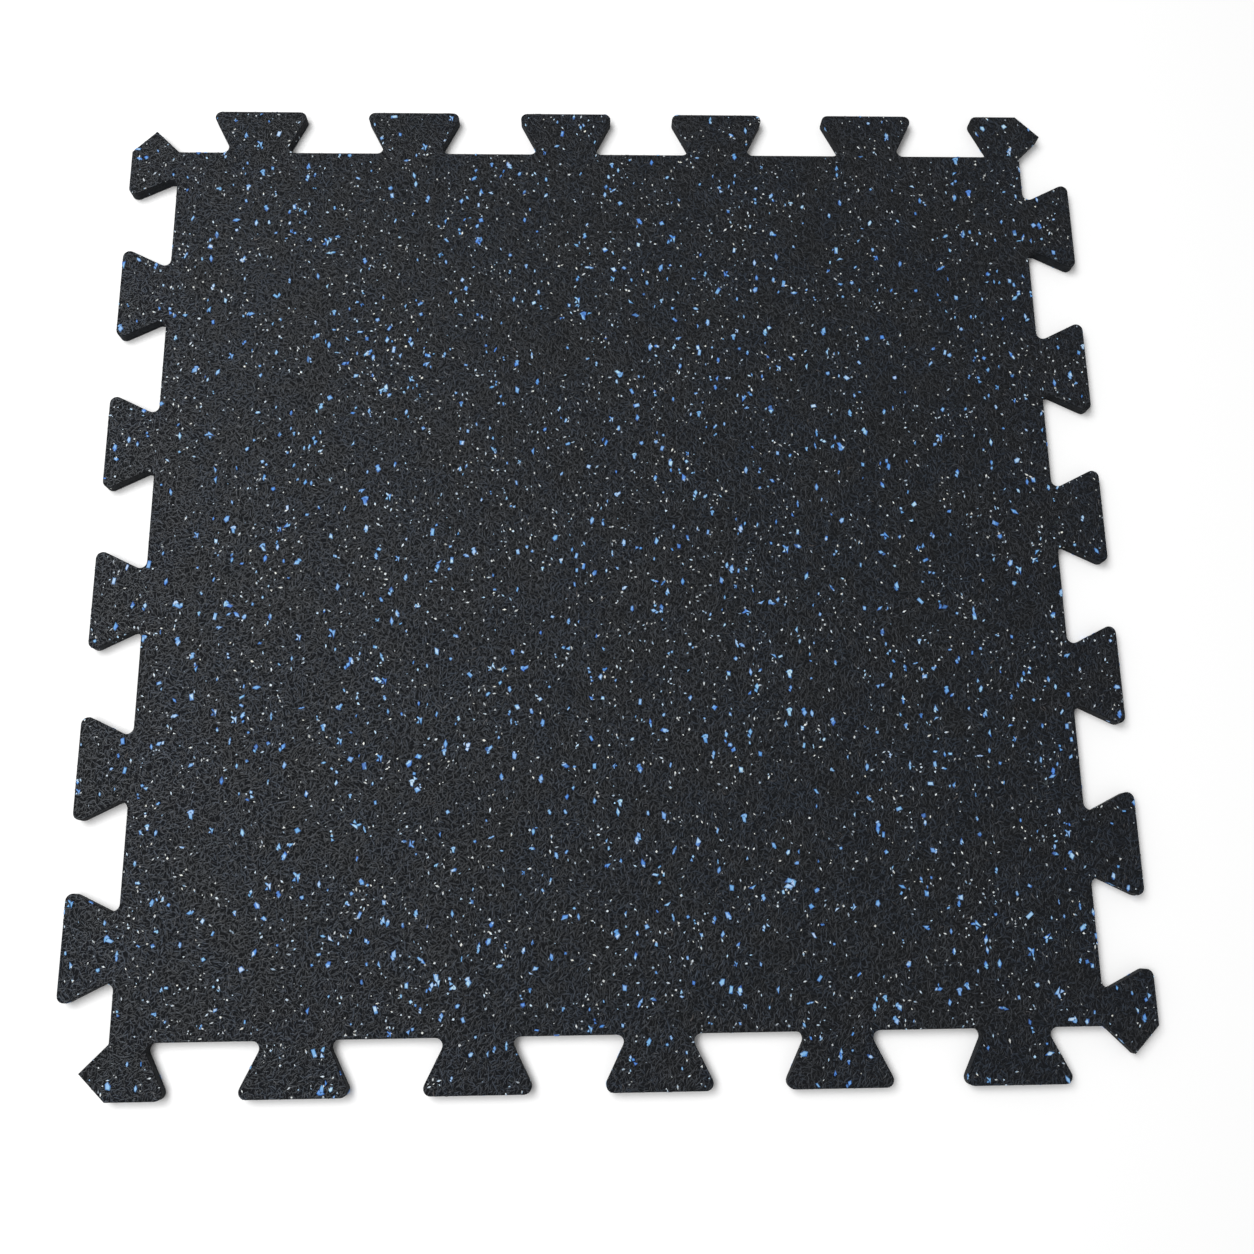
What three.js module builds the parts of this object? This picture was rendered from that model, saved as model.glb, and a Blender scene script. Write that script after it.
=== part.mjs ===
import * as THREE from "three";

// Driving dimensions of the interlocking floor tile, in millimetres.
const COVERAGE = 609.6; // floor covered by one laid tile, each way
const THICKNESS = 8;
const TABS_PER_SIDE = 6; // five whole tabs and the corner tab
const TAB_DEPTH = 31.8; // how far a tab reaches past the body
const FIRST_TAB = 53.6; // body corner to the centre of a side's first tab
const TAB_FLARE = 15.8; // how much wider the head is than the neck, on each flank
const JOINT_PLAY = 0.6; // width left free between a tab and the gap it drops into
const HEAD_RADIUS = 4.5; // rounding of a tab's two outer corners
const NECK_RADIUS = 4; // rounding at the foot of a tab's flanks
const BODY_CORNER_RADIUS = 1.5; // where a corner tab's chamfer runs into the next side
const ARRIS = 0.4; // softened edge round the top and the underside
const ARC_STEPS = 6;

// The body is square. Laid tiles touch head to body, so one body and one tab depth make up the coverage.
const BODY = COVERAGE - TAB_DEPTH;
// Tabs of one side face the gaps of the next tile's side, which is the same side turned half round.
const TAB_PITCH = (BODY - 2 * FIRST_TAB) / (TABS_PER_SIDE - 1.5);
const NECK = (TAB_PITCH - JOINT_PLAY) / 2 - TAB_FLARE;
const HEAD = NECK + 2 * TAB_FLARE;

// One side from its body corner, as distance along the side, reach past the body and rounding.
function sideCorners() {
  const corners = [[0, 0, BODY_CORNER_RADIUS]];
  for (let tab = 0; tab < TABS_PER_SIDE; tab++) {
    const centre = FIRST_TAB + tab * TAB_PITCH;
    corners.push([centre - NECK / 2, 0, NECK_RADIUS]);
    corners.push([centre - HEAD / 2, TAB_DEPTH, HEAD_RADIUS]);
    if (tab < TABS_PER_SIDE - 1) {
      corners.push([centre + HEAD / 2, TAB_DEPTH, HEAD_RADIUS]);
      corners.push([centre + NECK / 2, 0, NECK_RADIUS]);
    }
  }
  // The last tab ends in a point, a quarter of the square where four tiles meet.
  corners.push([BODY, TAB_DEPTH, 0]);
  corners.push([BODY + TAB_DEPTH / 2, TAB_DEPTH / 2, 0]);
  return corners;
}

// The four sides are the same side, turned a quarter each time round the tile.
function tileCorners() {
  const corners = [];
  for (let side = 0; side < 4; side++) {
    const turn = (-side * Math.PI) / 2;
    for (const [along, reach, radius] of sideCorners()) {
      const place = new THREE.Vector2(along - BODY / 2, reach + BODY / 2);
      place.rotateAround(new THREE.Vector2(0, 0), turn);
      corners.push({ place, radius });
    }
  }
  return corners;
}

// The cut line round the tile, each corner rounded by an arc that meets both of its edges.
function cutLine() {
  const corners = tileCorners();
  const points = [];
  corners.forEach(({ place, radius }, i) => {
    if (radius === 0) {
      points.push(place);
      return;
    }
    const before = corners[(i + corners.length - 1) % corners.length].place;
    const after = corners[(i + 1) % corners.length].place;
    const back = before.clone().sub(place).normalize();
    const ahead = after.clone().sub(place).normalize();
    const half = Math.acos(back.dot(ahead)) / 2;
    const toCentre = back.clone().add(ahead).normalize();
    const centre = toCentre.multiplyScalar(radius / Math.sin(half)).add(place);
    const start = back.multiplyScalar(radius / Math.tan(half)).add(place);
    const sweep = Math.PI - 2 * half;
    const travel = place.clone().sub(start);
    const way = Math.sign(start.clone().sub(centre).cross(travel));
    for (let step = 0; step <= ARC_STEPS; step++) {
      const angle = (way * sweep * step) / ARC_STEPS;
      points.push(start.clone().rotateAround(centre, angle));
    }
  });
  return new THREE.Shape(points.reverse());
}

// A flat sheet of bonded rubber crumb, cut through square to its face.
const geometry = new THREE.ExtrudeGeometry(cutLine(), {
  depth: THICKNESS - 2 * ARRIS,
  bevelEnabled: true,
  bevelThickness: ARRIS,
  bevelSize: ARRIS,
  bevelOffset: -ARRIS,
  bevelSegments: 1,
});
geometry.translate(0, 0, ARRIS);

const material = new THREE.MeshStandardMaterial({
  color: 0x26292d,
  roughness: 0.9,
  metalness: 0,
});
const tile = new THREE.Mesh(geometry, material);
tile.name = "floor_tile";

const part = new THREE.Group();
part.name = "interlocking_floor_tile";
part.add(tile);

export default part;
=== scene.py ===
import math
import random

import bmesh
import bpy
from mathutils import Matrix, Vector


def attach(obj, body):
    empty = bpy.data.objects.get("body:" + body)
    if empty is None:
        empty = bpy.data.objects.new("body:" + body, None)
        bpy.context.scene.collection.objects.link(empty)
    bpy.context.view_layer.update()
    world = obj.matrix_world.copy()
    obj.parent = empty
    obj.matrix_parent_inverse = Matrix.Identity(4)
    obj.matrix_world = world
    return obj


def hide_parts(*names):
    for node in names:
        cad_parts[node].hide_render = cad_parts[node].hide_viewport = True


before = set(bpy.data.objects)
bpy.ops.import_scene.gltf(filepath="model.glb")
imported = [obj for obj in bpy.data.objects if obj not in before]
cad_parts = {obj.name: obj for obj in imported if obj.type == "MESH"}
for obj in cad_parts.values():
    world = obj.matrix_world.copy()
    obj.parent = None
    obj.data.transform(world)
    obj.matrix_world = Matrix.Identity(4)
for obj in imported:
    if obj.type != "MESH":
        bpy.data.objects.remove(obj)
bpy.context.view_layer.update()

# The sheet is tyre rubber shredded to crumb and bound with clear polyurethane. It is pressed
# into a block, peeled off as a continuous roll, buffed level, and stamped through to its puzzle
# outline by one steel knife, which leaves plain dark walls and a slightly softened arris.


def stamped_sheet(name, under_skin):
    """The tile's solid as one welded mesh, with its faces this far under the tile's own."""
    solid = bmesh.new()
    solid.from_mesh(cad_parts["floor_tile"].data)
    weld = 0.00001
    bmesh.ops.remove_doubles(solid, verts=solid.verts, dist=weld)
    level = math.radians(1)
    bmesh.ops.dissolve_limit(solid, verts=solid.verts, edges=solid.edges, angle_limit=level)
    solid.normal_update()
    for corner, way in [(v, -v.normal * v.calc_shell_factor()) for v in solid.verts]:
        corner.co += way * under_skin
    mesh = bpy.data.meshes.new(name)
    solid.to_mesh(mesh)
    solid.free()
    sheet = bpy.data.objects.new(name, mesh)
    bpy.context.scene.collection.objects.link(sheet)
    return sheet


def node(tree, kind, feeds=None, **settings):
    """A node with its settings, and its sockets fed by links or plain values."""
    made = tree.nodes.new(kind)
    for name, value in settings.items():
        setattr(made, name, value)
    for name, value in (feeds or {}).items():
        if isinstance(value, bpy.types.NodeSocket):
            tree.links.new(value, made.inputs[name])
        else:
            made.inputs[name].default_value = value
    return made


def sums(tree, operation, *terms):
    """One step of arithmetic on sockets or numbers."""
    return node(tree, "ShaderNodeMath", dict(enumerate(terms)), operation=operation).outputs[0]


def ramp(tree, factor, *stops):
    """Colours at places along a factor: the two ends first, then the stops between them."""
    made = node(tree, "ShaderNodeValToRGB", {"Fac": factor})
    for number, (position, colour) in enumerate(stops):
        if number < 2:
            stop = made.color_ramp.elements[number]
            stop.position = position
        else:
            stop = made.color_ramp.elements.new(position)
        stop.color = (*colour, 1)
    return made.outputs[0]


def new_finish(name):
    """A material with its shader, and the place on the object that its patterns read."""
    finish = bpy.data.materials.new(name)
    finish.use_nodes = True
    tree = finish.node_tree
    place = node(tree, "ShaderNodeTexCoord").outputs["Object"]
    return finish, tree, tree.nodes["Principled BSDF"], place


# In the buffed face each shred shows as a short bent ridge. A layer has one ridge to a cell,
# turned its own way, and four layers lie over each other.
strands = bpy.data.node_groups.new("crumb_strands", "ShaderNodeTree")
for title, side, kind in (
    ("Place", "INPUT", "NodeSocketVector"),
    ("Shift", "INPUT", "NodeSocketVector"),
    ("Spacing", "INPUT", "NodeSocketFloat"),
    ("Length", "INPUT", "NodeSocketFloat"),
    ("Width", "INPUT", "NodeSocketFloat"),
    ("Height", "OUTPUT", "NodeSocketFloat"),
    ("Tone", "OUTPUT", "NodeSocketFloat"),
):
    strands.interface.new_socket(title, in_out=side, socket_type=kind)
given = strands.nodes.new("NodeGroupInput").outputs
laid = node(strands, "ShaderNodeVectorMath", {0: given["Place"], 1: given["Shift"]}).outputs[0]
per_metre = sums(strands, "DIVIDE", 1.0, given["Spacing"])
cell = node(strands, "ShaderNodeTexVoronoi", voronoi_dimensions="2D")
strands.links.new(laid, cell.inputs["Vector"])
strands.links.new(per_metre, cell.inputs["Scale"])
middle = cell.outputs["Position"]
from_middle = {0: laid, 1: middle}
offset = node(strands, "ShaderNodeVectorMath", from_middle, operation="SUBTRACT").outputs[0]
lot = node(strands, "ShaderNodeSeparateColor", {0: cell.outputs["Color"]}).outputs
turned = {"Vector": offset, "Angle": sums(strands, "MULTIPLY", lot[0], math.tau)}
spin = node(strands, "ShaderNodeVectorRotate", turned, rotation_type="Z_AXIS")
local = node(strands, "ShaderNodeSeparateXYZ", {0: spin.outputs[0]}).outputs
along = sums(strands, "DIVIDE", local["X"], given["Length"])
along_squared = sums(strands, "MULTIPLY", along, along)

# A ridge is a low dome on a bent middle line, gone at half its length and half its width.
sharpest_bend = 4.0
bend = sums(strands, "MULTIPLY_ADD", lot[1], 2 * sharpest_bend, -sharpest_bend)
across = sums(strands, "DIVIDE", local["Y"], given["Width"])
across = sums(strands, "MULTIPLY_ADD", along_squared, bend, across)
reach = sums(strands, "ADD", along_squared, sums(strands, "MULTIPLY", across, across))
rim = 0.5
fall = sums(strands, "MULTIPLY_ADD", reach, -1 / rim**2, 1.0)
dome = sums(strands, "SQRT", sums(strands, "MAXIMUM", fall, 0.0))
taken = strands.nodes.new("NodeGroupOutput").inputs
strands.links.new(dome, taken["Height"])
strands.links.new(lot[2], taken["Tone"])

crumb_rubber, tree, shader, place = new_finish("bonded_crumb_rubber")
pile = tone_and_sheen = 0.0
for spacing, length, width, shift in (
    (0.0031, 0.0060, 0.0010, (0.0, 0.0, 0.0)),
    (0.0028, 0.0052, 0.0009, (0.731, 0.417, 0.0)),
    (0.0025, 0.0044, 0.0008, (0.313, 0.871, 0.0)),
    (0.0038, 0.0074, 0.0010, (0.592, 0.139, 0.0)),
):
    layer = node(tree, "ShaderNodeGroup", node_tree=strands)
    tree.links.new(place, layer.inputs["Place"])
    layer.inputs["Shift"].default_value = shift
    layer.inputs["Spacing"].default_value = spacing
    layer.inputs["Length"].default_value = length
    layer.inputs["Width"].default_value = width
    height = layer.outputs["Height"]
    # Each strand is lighter than the ground, most at its crest: partly the shred's own grey, partly
    # painted sheen.
    tone_and_sheen = sums(tree, "MAXIMUM", sums(tree, "MULTIPLY", height, layer.outputs["Tone"]), tone_and_sheen)
    pile = sums(tree, "MAXIMUM", height, pile)

fine = node(tree, "ShaderNodeTexNoise", {"Vector": place, "Scale": 1600.0}).outputs[0]
patch = node(tree, "ShaderNodeTexNoise", {"Vector": place, "Scale": 45.0}).outputs[0]
facing = node(tree, "ShaderNodeNewGeometry").outputs["Normal"]
upright = node(tree, "ShaderNodeSeparateXYZ", {0: facing}).outputs["Z"]
steep = {"Value": sums(tree, "ABSOLUTE", upright), "From Min": 0.75, "From Max": 0.95}
buffed = node(tree, "ShaderNodeMapRange", steep).outputs[0]

# The knife leaves the cut crumb of the walls closed and dull, as a faint mottle.
# The arris lies between the face band and the wall band and gets neither tone, so it takes the
# darkest colour: painted shade along the edge.
crumb = node(tree, "ShaderNodeTexVoronoi", {"Vector": place, "Scale": 620.0}).outputs["Color"]
crumb_tone = node(tree, "ShaderNodeSeparateColor", {0: crumb}).outputs[0]
wall = {"Value": sums(tree, "ABSOLUTE", upright), "From Min": 0.6, "From Max": 0.3, "To Max": 0.55}
knifed = sums(tree, "MULTIPLY", crumb_tone, node(tree, "ShaderNodeMapRange", wall).outputs[0])
tone_and_sheen = sums(tree, "MULTIPLY_ADD", tone_and_sheen, buffed, knifed)
mottle_relief = 0.3
pile = sums(tree, "MULTIPLY_ADD", pile, buffed, sums(tree, "MULTIPLY", knifed, mottle_relief))
grain_relief = 0.3
relief = sums(tree, "MULTIPLY_ADD", fine, grain_relief, pile)
bump = node(tree, "ShaderNodeBump", {"Height": relief, "Strength": 1.0, "Distance": 0.0004})
tree.links.new(bump.outputs[0], shader.inputs["Normal"])
shred = ramp(
    tree,
    tone_and_sheen,
    (0.0, (0.0020, 0.0025, 0.0034)),
    (0.95, (0.025, 0.029, 0.036)),
    (0.5, (0.0054, 0.0066, 0.0087)),
)
tint = ramp(tree, patch, (0.38, (0.78, 0.98, 1.20)), (0.62, (1.02, 1.0, 0.96)))
colour = node(tree, "ShaderNodeVectorMath", {0: shred, 1: tint}, operation="MULTIPLY").outputs[0]
tree.links.new(colour, shader.inputs["Base Color"])
worn = node(tree, "ShaderNodeMapRange", {"Value": pile, "To Min": 0.95, "To Max": 0.33}).outputs[0]
tree.links.new(worn, shader.inputs["Roughness"])
shader.inputs["Specular IOR Level"].default_value = 0.31
# The bluish specular tint is painted: it stands in for cool light in the reflections.
shader.inputs["Specular Tint"].default_value = (0.92, 0.955, 1.0, 1)

rubber_sheet = stamped_sheet("rubber_sheet", under_skin=0.0002)
rubber_sheet.data.materials.append(crumb_rubber)
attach(rubber_sheet, "root")
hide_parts("floor_tile")

# The longest shreds stand a little proud of the pressed face. They are torn slivers of tyre
# tread, bent and pointed at both ends, glued down flat by the binder and shaved by the buffing.


def shelf_of(name, forms):
    """The like shapes that one kind of granule is drawn from."""
    shelf = bpy.data.collections.new(name)
    for number, form in enumerate(forms):
        mesh = bpy.data.meshes.new(f"{name}_{number}")
        bmesh.ops.recalc_face_normals(form, faces=form.faces)
        form.to_mesh(mesh)
        form.free()
        shelf.objects.link(bpy.data.objects.new(mesh.name, mesh))
    return shelf


def strew(granules, shelf, spacing, per_square_metre, patchiness, swing, sizes, seed, slopes=(0, 1)):
    """Granules strewn over a solid's faces and cut by it, so that its mesh becomes theirs."""
    mix = bpy.data.node_groups.new(granules.name, "GeometryNodeTree")
    mix.interface.new_socket("Geometry", in_out="INPUT", socket_type="NodeSocketGeometry")
    mix.interface.new_socket("Geometry", in_out="OUTPUT", socket_type="NodeSocketGeometry")
    sheet = mix.nodes.new("NodeGroupInput").outputs[0]

    # Only faces whose normal has a Z near the first of the slopes, give or take the second, get any.
    way = node(mix, "GeometryNodeInputNormal").outputs[0]
    rise = node(mix, "ShaderNodeSeparateXYZ", {0: way}).outputs["Z"]
    chosen = sums(mix, "COMPARE", rise, *slopes)
    feeds = {"Mesh": sheet, "Selection": chosen, "Distance Min": spacing}
    feeds |= {"Density Max": per_square_metre, "Seed": seed}
    spots = node(mix, "GeometryNodeDistributePointsOnFaces", feeds, distribute_method="POISSON")

    # Some places get fewer granules than others, and the walls fewest.
    left_bare = 0.3
    cloud = node(mix, "ShaderNodeTexNoise", {"Scale": 30.0, "Detail": 2.0}).outputs[0]
    chance = sums(mix, "MULTIPLY_ADD", cloud, -patchiness, left_bare + patchiness / 2)
    lie = node(mix, "ShaderNodeSeparateXYZ", {0: spots.outputs["Normal"]}).outputs["Z"]
    on_wall = sums(mix, "LESS_THAN", sums(mix, "ABSOLUTE", lie), 0.5)
    barer_walls = 0.45
    chance = sums(mix, "MULTIPLY_ADD", on_wall, barer_walls, chance)
    draw = node(mix, "FunctionNodeRandomValue", {2: 0.0, 3: 1.0, "Seed": seed + 1}).outputs[1]
    bare = sums(mix, "LESS_THAN", draw, chance)
    thinned = node(mix, "GeometryNodeDeleteGeometry", {0: spots.outputs["Points"], 1: bare})
    kept = thinned.outputs[0]

    # Each stands on its face and is turned about its own axis, most of them near the sheet's Y.
    upright = {"Vector": spots.outputs["Normal"]}
    outward = node(mix, "FunctionNodeAlignRotationToVector", upright, axis="Z").outputs[0]
    level = {"Rotation": outward, "Vector": (0, 1, 0)}
    rolled = node(mix, "FunctionNodeAlignRotationToVector", level, axis="Y", pivot_axis="Z")
    side = node(mix, "FunctionNodeRandomValue", {2: -1.0, 3: 1.0, "Seed": seed + 2}).outputs[1]
    lean = sums(mix, "MULTIPLY", side, sums(mix, "POWER", sums(mix, "ABSOLUTE", side), swing))
    spin = node(mix, "ShaderNodeCombineXYZ", {"Z": sums(mix, "MULTIPLY", lean, math.pi)}).outputs[0]
    turn = node(mix, "FunctionNodeEulerToRotation", {0: spin}).outputs[0]
    both = {0: rolled.outputs[0], 1: turn}
    facing = node(mix, "FunctionNodeRotateRotation", both, rotation_space="LOCAL").outputs[0]

    # Small ones outnumber large ones, the more so the higher the skew.
    smallest, largest, skew = sizes
    share = node(mix, "FunctionNodeRandomValue", {2: 0.0, 3: 1.0, "Seed": seed + 3}).outputs[1]
    size = sums(mix, "MULTIPLY_ADD", sums(mix, "POWER", share, skew), largest - smallest, smallest)
    scale = node(mix, "ShaderNodeCombineXYZ", {"X": size, "Y": size, "Z": 1.0}).outputs[0]
    stock = node(mix, "GeometryNodeCollectionInfo", {0: shelf, 1: True, 2: True}).outputs[0]
    feeds = {"Points": kept, "Instance": stock, "Pick Instance": True}
    feeds |= {"Rotation": facing, "Scale": scale}
    laid = node(mix, "GeometryNodeInstanceOnPoints", feeds).outputs[0]
    whole = node(mix, "GeometryNodeRealizeInstances", {0: laid}).outputs[0]
    cut = node(mix, "GeometryNodeMeshBoolean", {1: whole}, operation="INTERSECT", solver="MANIFOLD")
    mix.links.new(sheet, cut.inputs[1])
    mix.links.new(cut.outputs[0], mix.nodes.new("NodeGroupOutput").inputs[0])

    # The cut granules replace the solid as a plain mesh.
    granules.modifiers.new("strew", "NODES").node_group = mix
    seen = granules.evaluated_get(bpy.context.evaluated_depsgraph_get())
    strewn = bpy.data.meshes.new_from_object(seen)
    granules.modifiers.clear()
    granules.data = strewn
    granules.data.materials.clear()


def bent_shred(luck):
    """A sliver one unit long, bent in an arc and pointed at both ends, with its crest upward."""
    sliver = bmesh.new()
    arc = luck.uniform(0.3, 2.4)
    stand = Matrix.Rotation(math.radians(90), 4, "X")
    half_width, half_height = 0.09, 0.00017
    section = Matrix.Diagonal((half_width, half_height, 1, 1))
    start = bmesh.ops.create_circle(sliver, segments=3, radius=1, matrix=stand @ section)["verts"]
    about = {"cent": (1 / arc, 0, 0), "axis": (0, 0, 1), "angle": arc, "steps": 4}
    shape = sliver.verts[:] + sliver.edges[:]
    last = bmesh.ops.spin(sliver, geom=shape, **about)["geom_last"]
    end = [part for part in last if isinstance(part, bmesh.types.BMVert)]
    for ring in (start, end):
        tip = sum((corner.co for corner in ring), Vector()) / len(ring)
        bmesh.ops.pointmerge(sliver, verts=ring, merge_co=tip)
    middle = sum((corner.co for corner in sliver.verts), Vector()) / len(sliver.verts)
    sink = 0.00018
    bmesh.ops.translate(sliver, verts=sliver.verts, vec=(-middle.x, -middle.y, -sink))
    ragged = 0.02
    for corner in sliver.verts:
        corner.co += Vector((luck.uniform(-1, 1), luck.uniform(-1, 1), 0)) * ragged
    return sliver


shred_rubber, tree, shader, place = new_finish("buffed_shred_rubber")
batch = node(tree, "ShaderNodeTexVoronoi", {"Vector": place, "Scale": 300.0}).outputs["Color"]
lot = node(tree, "ShaderNodeSeparateColor", {0: batch}).outputs
grey = ramp(
    tree,
    lot[0],
    (0.0, (0.0030, 0.0036, 0.0046)),
    (1.0, (0.052, 0.056, 0.064)),
    (0.6, (0.009, 0.0105, 0.0132)),
)
tinge = ramp(
    tree,
    lot[1],
    (0.0, (0.85, 1.06, 1.0)),
    (1.0, (1.25, 0.98, 0.80)),
    (0.15, (1.0, 1.0, 1.0)),
    (0.85, (1.0, 1.0, 1.0)),
)
colour = node(tree, "ShaderNodeVectorMath", {0: grey, 1: tinge}, operation="MULTIPLY").outputs[0]
tree.links.new(colour, shader.inputs["Base Color"])
grain = node(tree, "ShaderNodeTexNoise", {"Vector": place, "Scale": 3000.0}).outputs[0]
bump = node(tree, "ShaderNodeBump", {"Height": grain, "Strength": 0.5, "Distance": 0.00003})
tree.links.new(bump.outputs[0], shader.inputs["Normal"])
shader.inputs["Roughness"].default_value = 0.3
shader.inputs["Specular IOR Level"].default_value = 0.45
# The bluish specular tint is painted: it stands in for cool light in the reflections.
shader.inputs["Specular Tint"].default_value = (0.94, 0.97, 1.0, 1)

luck = random.Random(10)
shred_shelf = shelf_of("shred", [bent_shred(luck) for kind in range(24)])
crumb_shreds = stamped_sheet("crumb_shreds", under_skin=0.00002)
strew(
    crumb_shreds,
    shred_shelf,
    spacing=0.0014,
    per_square_metre=45000.0,
    patchiness=0.5,
    swing=0.0,
    sizes=(0.0028, 0.0070, 1.4),
    seed=41,
    slopes=(1, 0.5),
)
crumb_shreds.data.shade_smooth()
crumb_shreds.data.materials.append(shred_rubber)
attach(crumb_shreds, "root")

# Blue granules are rubber coloured through and cut from sheet, then stirred into the crumb.
# The buffing belt and the knife cut them flush with the faces, so each one shows as a small
# angular chip, often forked or with a smaller piece of the same granule beside it.


def cut_chips(luck, slimmest):
    """One to three chips near each other, each a low stump with sloping flanks and a cut cap."""
    chips = bmesh.new()
    ragged = 0.16
    sink = 0.00014
    company = luck.choice((1, 1, 1, 1, 2, 2, 3))
    for mate in range(company):
        sides = luck.choice((3, 4, 4, 5))
        form = {"segments": sides, "radius1": 0.75, "radius2": 0.42, "depth": 0.00035}
        own_turn = Matrix.Rotation(luck.uniform(0, math.tau), 4, "Z")
        cone = bmesh.ops.create_cone(chips, cap_ends=True, matrix=own_turn, **form)["verts"]
        for foot, head in zip(cone[::2], cone[1::2]):
            push = Vector((luck.uniform(-1, 1), luck.uniform(-1, 1), 0)) * ragged
            foot.co += push
            head.co += push
        size = luck.uniform(0.8, 1.15) if mate == 0 else luck.uniform(0.45, 0.8)
        stretch = luck.uniform(1.0, slimmest)
        width = size / math.sqrt(stretch)
        shape = Matrix.Diagonal((width, width * stretch, 1, 1))
        lean = Matrix.Rotation(luck.gauss(0, 0.15 if mate == 0 else 0.7), 4, "Z")
        way = Vector((luck.gauss(0, 0.6), luck.choice((-1, 1)), 0)).normalized()
        apart = way * (luck.uniform(0.15, 0.5) + 0.5 * width * stretch) * min(mate, 1)
        seat = Matrix.Translation(apart + Vector((0, 0, -sink)))
        bmesh.ops.transform(chips, matrix=seat @ lean @ shape, verts=cone)
    return chips


blue_rubber, tree, shader, place = new_finish("blue_granule_rubber")
batch = node(tree, "ShaderNodeTexVoronoi", {"Vector": place, "Scale": 260.0}).outputs["Color"]
lot = node(tree, "ShaderNodeSeparateColor", {0: batch}).outputs
hue = ramp(
    tree,
    lot[0],
    (0.0, (0.055, 0.155, 0.39)),
    (1.0, (0.48, 0.64, 0.78)),
    (0.12, (0.075, 0.25, 0.68)),
    (0.3, (0.14, 0.34, 0.65)),
    (0.75, (0.26, 0.48, 0.73)),
)
dye = ramp(
    tree,
    lot[1],
    (0.0, (0.95, 1.05, 0.99)),
    (1.0, (1.0, 0.93, 1.01)),
    (0.5, (1.0, 1.0, 1.0)),
)
facing = node(tree, "ShaderNodeNewGeometry").outputs["Normal"]
upright = node(tree, "ShaderNodeSeparateXYZ", {0: facing}).outputs["Z"]

# Caps cut level with a face or a wall show their full colour. The flanks are painted darker and more
# saturated: painted shade where they dip under the crumb.
slope = sums(tree, "ABSOLUTE", sums(tree, "ADD", sums(tree, "ABSOLUTE", upright), -0.5))
shade = ramp(tree, slope, (0.42, (0.28, 0.39, 0.56)), (0.48, (1.0, 1.0, 1.0)))
dyed = node(tree, "ShaderNodeVectorMath", {0: hue, 1: dye}, operation="MULTIPLY").outputs[0]
colour = node(tree, "ShaderNodeVectorMath", {0: dyed, 1: shade}, operation="MULTIPLY").outputs[0]
tree.links.new(colour, shader.inputs["Base Color"])
grain = node(tree, "ShaderNodeTexNoise", {"Vector": place, "Scale": 2500.0}).outputs[0]
bump = node(tree, "ShaderNodeBump", {"Height": grain, "Strength": 0.6, "Distance": 0.00004})
tree.links.new(bump.outputs[0], shader.inputs["Normal"])
shader.inputs["Roughness"].default_value = 0.62
shader.inputs["Specular IOR Level"].default_value = 0.35

luck = random.Random(11)
blue_shelf = shelf_of("blue_chip", [cut_chips(luck, slimmest=2.4) for kind in range(24)])
blue_granules = stamped_sheet("blue_granules", under_skin=0.0)
strew(
    blue_granules,
    blue_shelf,
    spacing=0.0022,
    per_square_metre=6300.0,
    patchiness=0.4,
    swing=3.5,
    sizes=(0.0014, 0.0033, 1.2),
    seed=24,
)
blue_granules.data.materials.append(blue_rubber)
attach(blue_granules, "root")

# Pale granules are the fines that come with the blue ones: specks of light grey, off-white and
# pale blue rubber, ground rather than cut. They are much smaller, far more of them show, and
# belt and knife cut them flush in the same way.
pale_rubber, tree, shader, place = new_finish("pale_granule_rubber")
batch = node(tree, "ShaderNodeTexVoronoi", {"Vector": place, "Scale": 400.0}).outputs["Color"]
lot = node(tree, "ShaderNodeSeparateColor", {0: batch}).outputs
hue = ramp(
    tree,
    lot[0],
    (0.0, (0.20, 0.25, 0.31)),
    (1.0, (0.62, 0.73, 0.84)),
    (0.5, (0.39, 0.47, 0.57)),
)
dye = ramp(
    tree,
    lot[1],
    (0.0, (1.26, 1.06, 0.83)),
    (1.0, (0.64, 0.90, 1.08)),
    (0.5, (1.12, 1.02, 0.92)),
    (0.8, (0.92, 0.98, 1.01)),
)
colour = node(tree, "ShaderNodeVectorMath", {0: hue, 1: dye}, operation="MULTIPLY").outputs[0]
tree.links.new(colour, shader.inputs["Base Color"])
shader.inputs["Roughness"].default_value = 0.65
shader.inputs["Specular IOR Level"].default_value = 0.35


def pale_chip(luck):
    """One small chip, a point below and a cut cap just above the face."""
    chip = bmesh.new()
    ragged = 0.12
    sink = 0.00035
    form = {"segments": luck.choice((3, 4, 4)), "radius1": 0.0, "radius2": 0.5, "depth": 0.0010}
    bmesh.ops.create_cone(chip, cap_ends=True, **form)
    for corner in chip.verts:
        corner.co += Vector((luck.uniform(-1, 1), luck.uniform(-1, 1), 0)) * ragged
    stretch = luck.choice((1.0, 1.2, 1.6, 2.6))
    width = 1 / math.sqrt(stretch)
    shape = Matrix.Diagonal((width, width * stretch, 1, 1))
    lean = Matrix.Rotation(luck.gauss(0, 0.3), 4, "Z")
    seat = Matrix.Translation((0, 0, -sink))
    bmesh.ops.transform(chip, matrix=seat @ lean @ shape, verts=chip.verts)
    return chip


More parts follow.
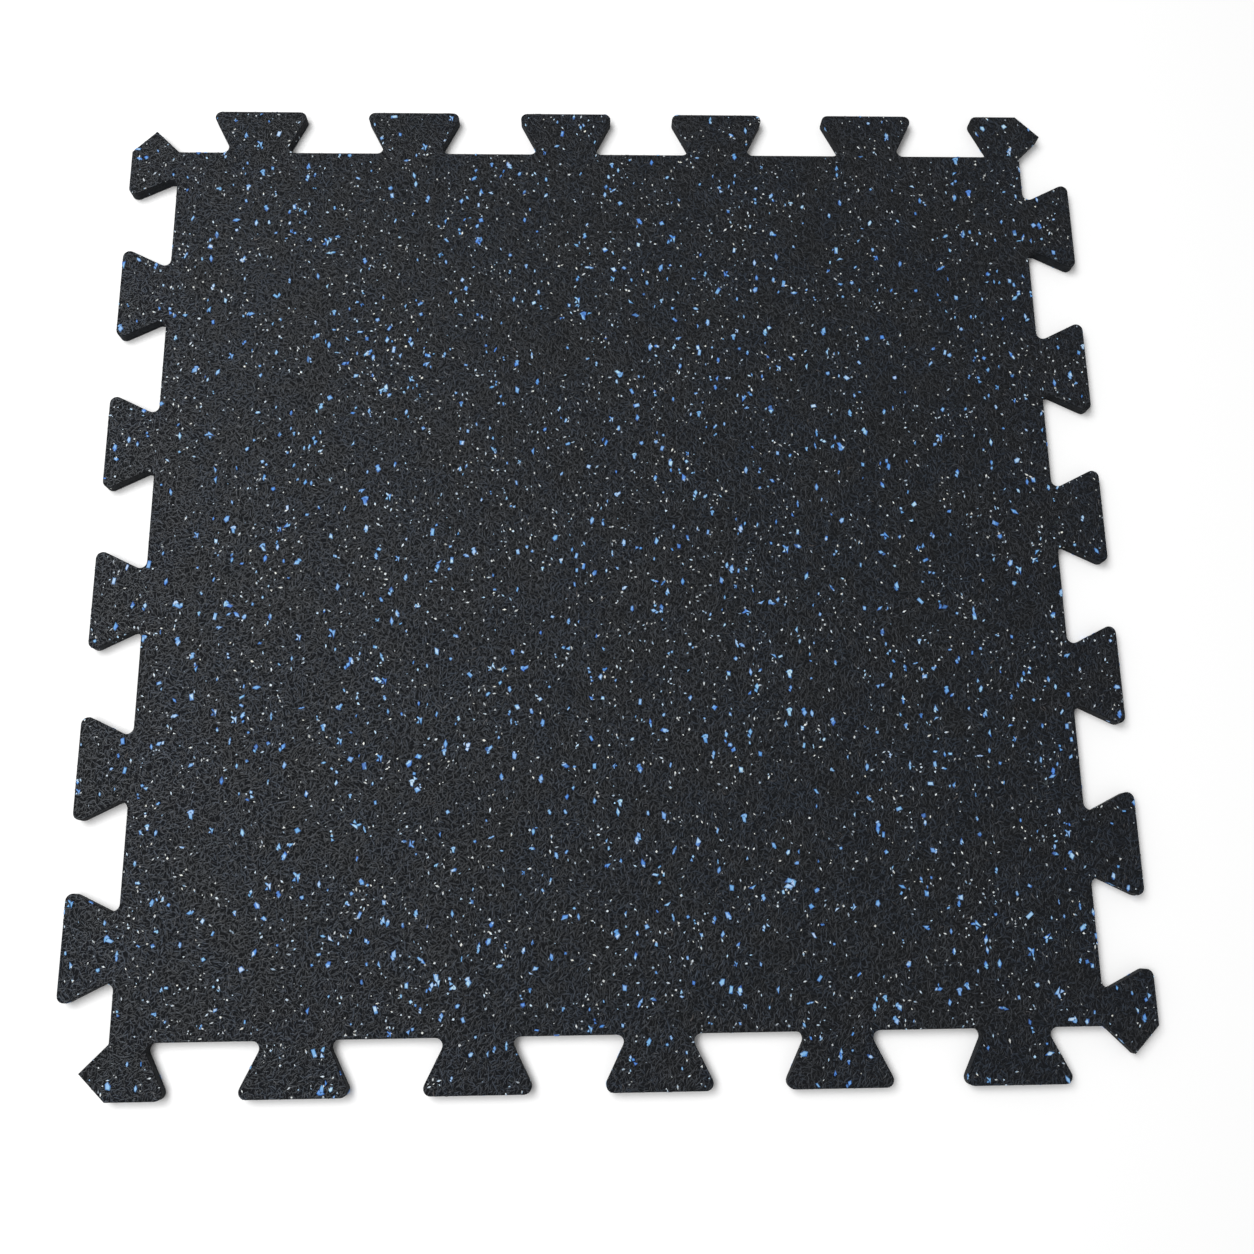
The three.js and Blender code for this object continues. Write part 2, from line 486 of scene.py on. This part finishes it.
luck = random.Random(12)
pale_shelf = shelf_of("pale_chip", [pale_chip(luck) for kind in range(16)])
pale_granules = stamped_sheet("pale_granules", under_skin=0.00001)
strew(
    pale_granules,
    pale_shelf,
    spacing=0.0013,
    per_square_metre=23500.0,
    patchiness=3.0,
    swing=1.0,
    sizes=(0.0009, 0.0022, 1.4),
    seed=31,
)
pale_granules.data.materials.append(pale_rubber)
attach(pale_granules, "root")

# The studio: a white floor that the tile lies on, lit white all round. A large soft light high
# on the left throws the short shadows to the right and below, and a smaller one almost overhead
# gives the lower left of the face its sheen.
paper, tree, shader, place = new_finish("studio_floor")
shader.inputs["Base Color"].default_value = (0.97, 0.97, 0.97, 1)
shader.inputs["Roughness"].default_value = 1.0
shader.inputs["Specular IOR Level"].default_value = 0.0
sweep = bmesh.new()
bmesh.ops.create_grid(sweep, x_segments=1, y_segments=1, size=40.0)
bmesh.ops.translate(sweep, verts=sweep.verts, vec=(0, 0, -0.00005))
floor_mesh = bpy.data.meshes.new("floor")
sweep.to_mesh(floor_mesh)
sweep.free()
floor_mesh.materials.append(paper)
floor = bpy.data.objects.new("floor", floor_mesh)
bpy.context.scene.collection.objects.link(floor)

world = bpy.data.worlds.new("studio_air")
world.use_nodes = True
world.node_tree.nodes["Background"].inputs["Color"].default_value = (1, 1, 1, 1)
world.node_tree.nodes["Background"].inputs["Strength"].default_value = 0.38
bpy.context.scene.world = world


def soft_light(name, where, size, power):
    """A square soft light turned to the middle of the tile."""
    lamp = bpy.data.lights.new(name, "AREA")
    lamp.size = size
    lamp.energy = power
    light = bpy.data.objects.new(name, lamp)
    light.location = where
    light.rotation_euler = (-Vector(where)).to_track_quat("-Z", "Y").to_euler()
    bpy.context.scene.collection.objects.link(light)


soft_light("key_light", where=(-1.7, 1.25, 3.3), size=2.2, power=98.0)
soft_light("top_light", where=(-0.8, -0.42, 1.9), size=0.9, power=14.0)

lens = bpy.data.cameras.new("camera")
lens.lens = 35.55
camera = bpy.data.objects.new("camera", lens)
camera.location = (-0.0151, -0.2277, 0.7598)
camera.rotation_euler = (math.radians(13.61), math.radians(-1.79), math.radians(-0.83))
bpy.context.scene.collection.objects.link(camera)
bpy.context.scene.camera = camera
bpy.context.scene.view_settings.view_transform = "Standard"
